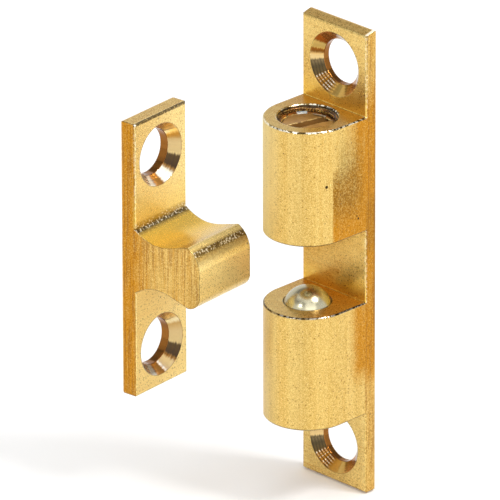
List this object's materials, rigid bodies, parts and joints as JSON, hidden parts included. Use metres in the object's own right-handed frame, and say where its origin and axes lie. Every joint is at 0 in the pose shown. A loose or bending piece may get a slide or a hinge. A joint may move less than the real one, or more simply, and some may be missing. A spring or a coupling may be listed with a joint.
{
  "type": "double ball catch",
  "caption": "Small brass double ball catch: one-piece body, sprung steel balls facing each other across a gap, adjusting screws behind them, and a separate strike whose nose they grip.",
  "frame": {"origin": "the middle of the catch body's flat back face, where it lies against the frame it is screwed to", "axes": "+Z runs along the catch body from the lower screw hole to the upper one; the catch body's front, with its housings, faces -Y; +X runs across its width, away from the strike"},
  "size_m": [0.0202, 0.0172, 0.0503],
  "materials": {
    "body_brass": "satin, lightly tumbled, with fine draw lines and small pits",
    "strike_brass": "satin, lightly tumbled, with saw lines on its sides",
    "ball_steel": "polished",
    "spring_steel": "drawn wire",
    "screw_brass": "turned"
  },
  "bodies": {
    "catch": {"catch_body": "body_brass"},
    "strike": {"strike": "strike_brass"},
    "upper_ball": {"upper_ball": "ball_steel"},
    "lower_ball": {"lower_ball": "ball_steel"},
    "upper_spring": {"upper_spring": "spring_steel"},
    "lower_spring": {"lower_spring": "spring_steel"},
    "upper_screw": {"upper_screw": "screw_brass"},
    "lower_screw": {"lower_screw": "screw_brass"}
  },
  "joints": [
    {"name": "upper_ball_press", "type": "slide", "parent": "catch", "child": "upper_ball", "axis": [0, 0, 1], "range_m": [0, 0.0016], "stiffness_N_per_m": 2700, "springref_m": -0.00185, "deforming": ["upper_spring"]},
    {"name": "upper_screw_feed", "type": "slide", "parent": "catch", "child": "upper_spring", "axis": [0, 0, 1], "range_m": [-0.00076, 0.00076], "deforming": ["upper_spring"]},
    {"name": "upper_screw_turn", "type": "hinge", "parent": "upper_spring", "child": "upper_screw", "pos_m": [0, -0.00545, 0.0121], "axis": [0, 0, 1], "range_deg": [-360, 360]},
    {"name": "lower_ball_press", "type": "slide", "parent": "catch", "child": "lower_ball", "axis": [0, 0, -1], "range_m": [0, 0.0016], "stiffness_N_per_m": 2700, "springref_m": -0.00185, "deforming": ["lower_spring"]},
    {"name": "lower_screw_feed", "type": "slide", "parent": "catch", "child": "lower_spring", "axis": [0, 0, -1], "range_m": [-0.00076, 0.00076], "deforming": ["lower_spring"]},
    {"name": "lower_screw_turn", "type": "hinge", "parent": "lower_spring", "child": "lower_screw", "pos_m": [0, -0.00545, -0.0121], "axis": [0, 0, -1], "range_deg": [-360, 360]},
    {"name": "strike_swing", "type": "hinge", "parent": "catch", "child": "strike", "pos_m": [-0.00512, -0.00702, 0], "axis": [0, 0, 1], "range_deg": [0, 84]}
  ],
  "couplings": [
    {"joint": "upper_screw_feed", "follows": "upper_screw_turn", "m_per_rad": 0.00011937},
    {"joint": "lower_screw_feed", "follows": "lower_screw_turn", "m_per_rad": 0.00011937}
  ]
}
